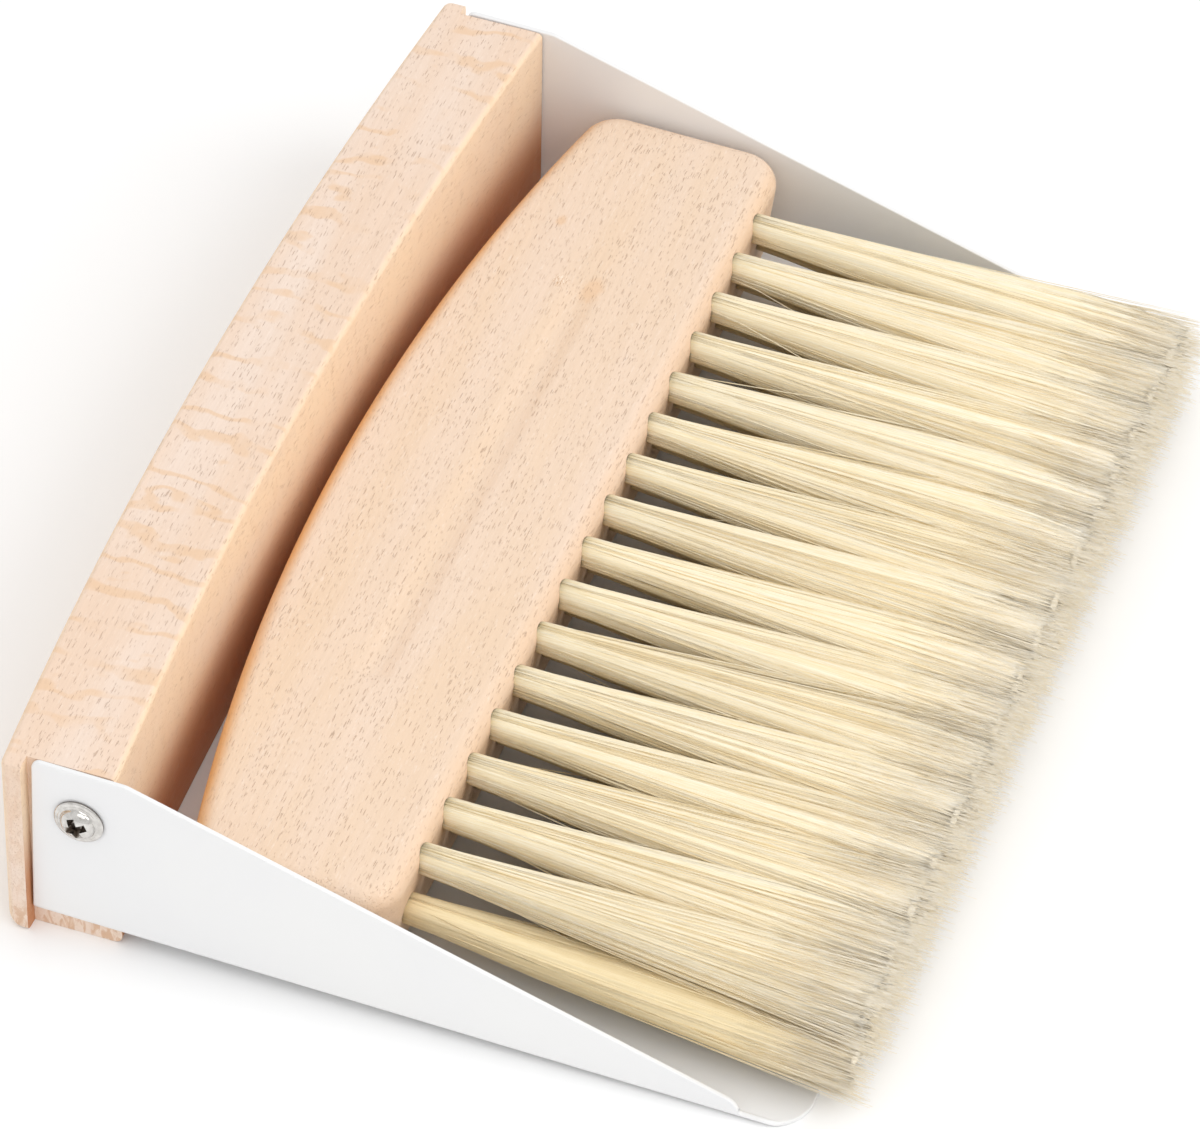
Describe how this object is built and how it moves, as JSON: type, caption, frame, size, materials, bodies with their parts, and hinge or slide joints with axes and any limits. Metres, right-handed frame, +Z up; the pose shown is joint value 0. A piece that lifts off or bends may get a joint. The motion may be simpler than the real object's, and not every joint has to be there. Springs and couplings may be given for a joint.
{
  "type": "dust pan and brush set",
  "caption": "Bent sheet dust pan with a bowed wooden handle block and a flat wooden hand brush lying in it; the brush lifts out to sweep.",
  "frame": {"origin": "centre of the box of the set at its base, on the table under it", "axes": "+Z up, X across the pan's width, -Y towards the pan's open lip and the bristle tips"},
  "size_m": [0.2332, 0.1714, 0.0441],
  "materials": {
    "pan_coating": "satin white powder coat on about 1 mm sheet steel",
    "block_wood": "sanded beech, light satin oil",
    "brush_wood": "sanded beech, light satin oil",
    "screw_metal": "bright nickel plate",
    "bristle": "straw-coloured fibre, slightly glossy"
  },
  "bodies": {
    "pan": {"pan_tray": "pan_coating", "pan_handle_block": "block_wood", "pan_screw_left": "screw_metal", "pan_screw_right": "screw_metal"},
    "brush": {"brush_back": "brush_wood", "tuft_upper_01": "bristle", "tuft_upper_02": "bristle", "tuft_upper_03": "bristle", "tuft_upper_04": "bristle", "tuft_upper_05": "bristle", "tuft_upper_06": "bristle", "tuft_upper_07": "bristle", "tuft_upper_08": "bristle", "tuft_upper_09": "bristle", "tuft_upper_10": "bristle", "tuft_upper_11": "bristle", "tuft_upper_12": "bristle", "tuft_upper_13": "bristle", "tuft_upper_14": "bristle", "tuft_upper_15": "bristle", "tuft_upper_16": "bristle", "tuft_lower_01": "bristle", "tuft_lower_02": "bristle", "tuft_lower_03": "bristle", "tuft_lower_04": "bristle", "tuft_lower_05": "bristle", "tuft_lower_06": "bristle", "tuft_lower_07": "bristle", "tuft_lower_08": "bristle", "tuft_lower_09": "bristle", "tuft_lower_10": "bristle", "tuft_lower_11": "bristle", "tuft_lower_12": "bristle", "tuft_lower_13": "bristle", "tuft_lower_14": "bristle", "tuft_lower_15": "bristle", "tuft_lower_16": "bristle", "tuft_lower_17": "bristle"}
  },
  "joints": [
    {"name": "brush_lift", "type": "slide", "parent": "pan", "child": "brush", "axis": [0, 0, 1], "range_m": [0, 0.08]}
  ]
}
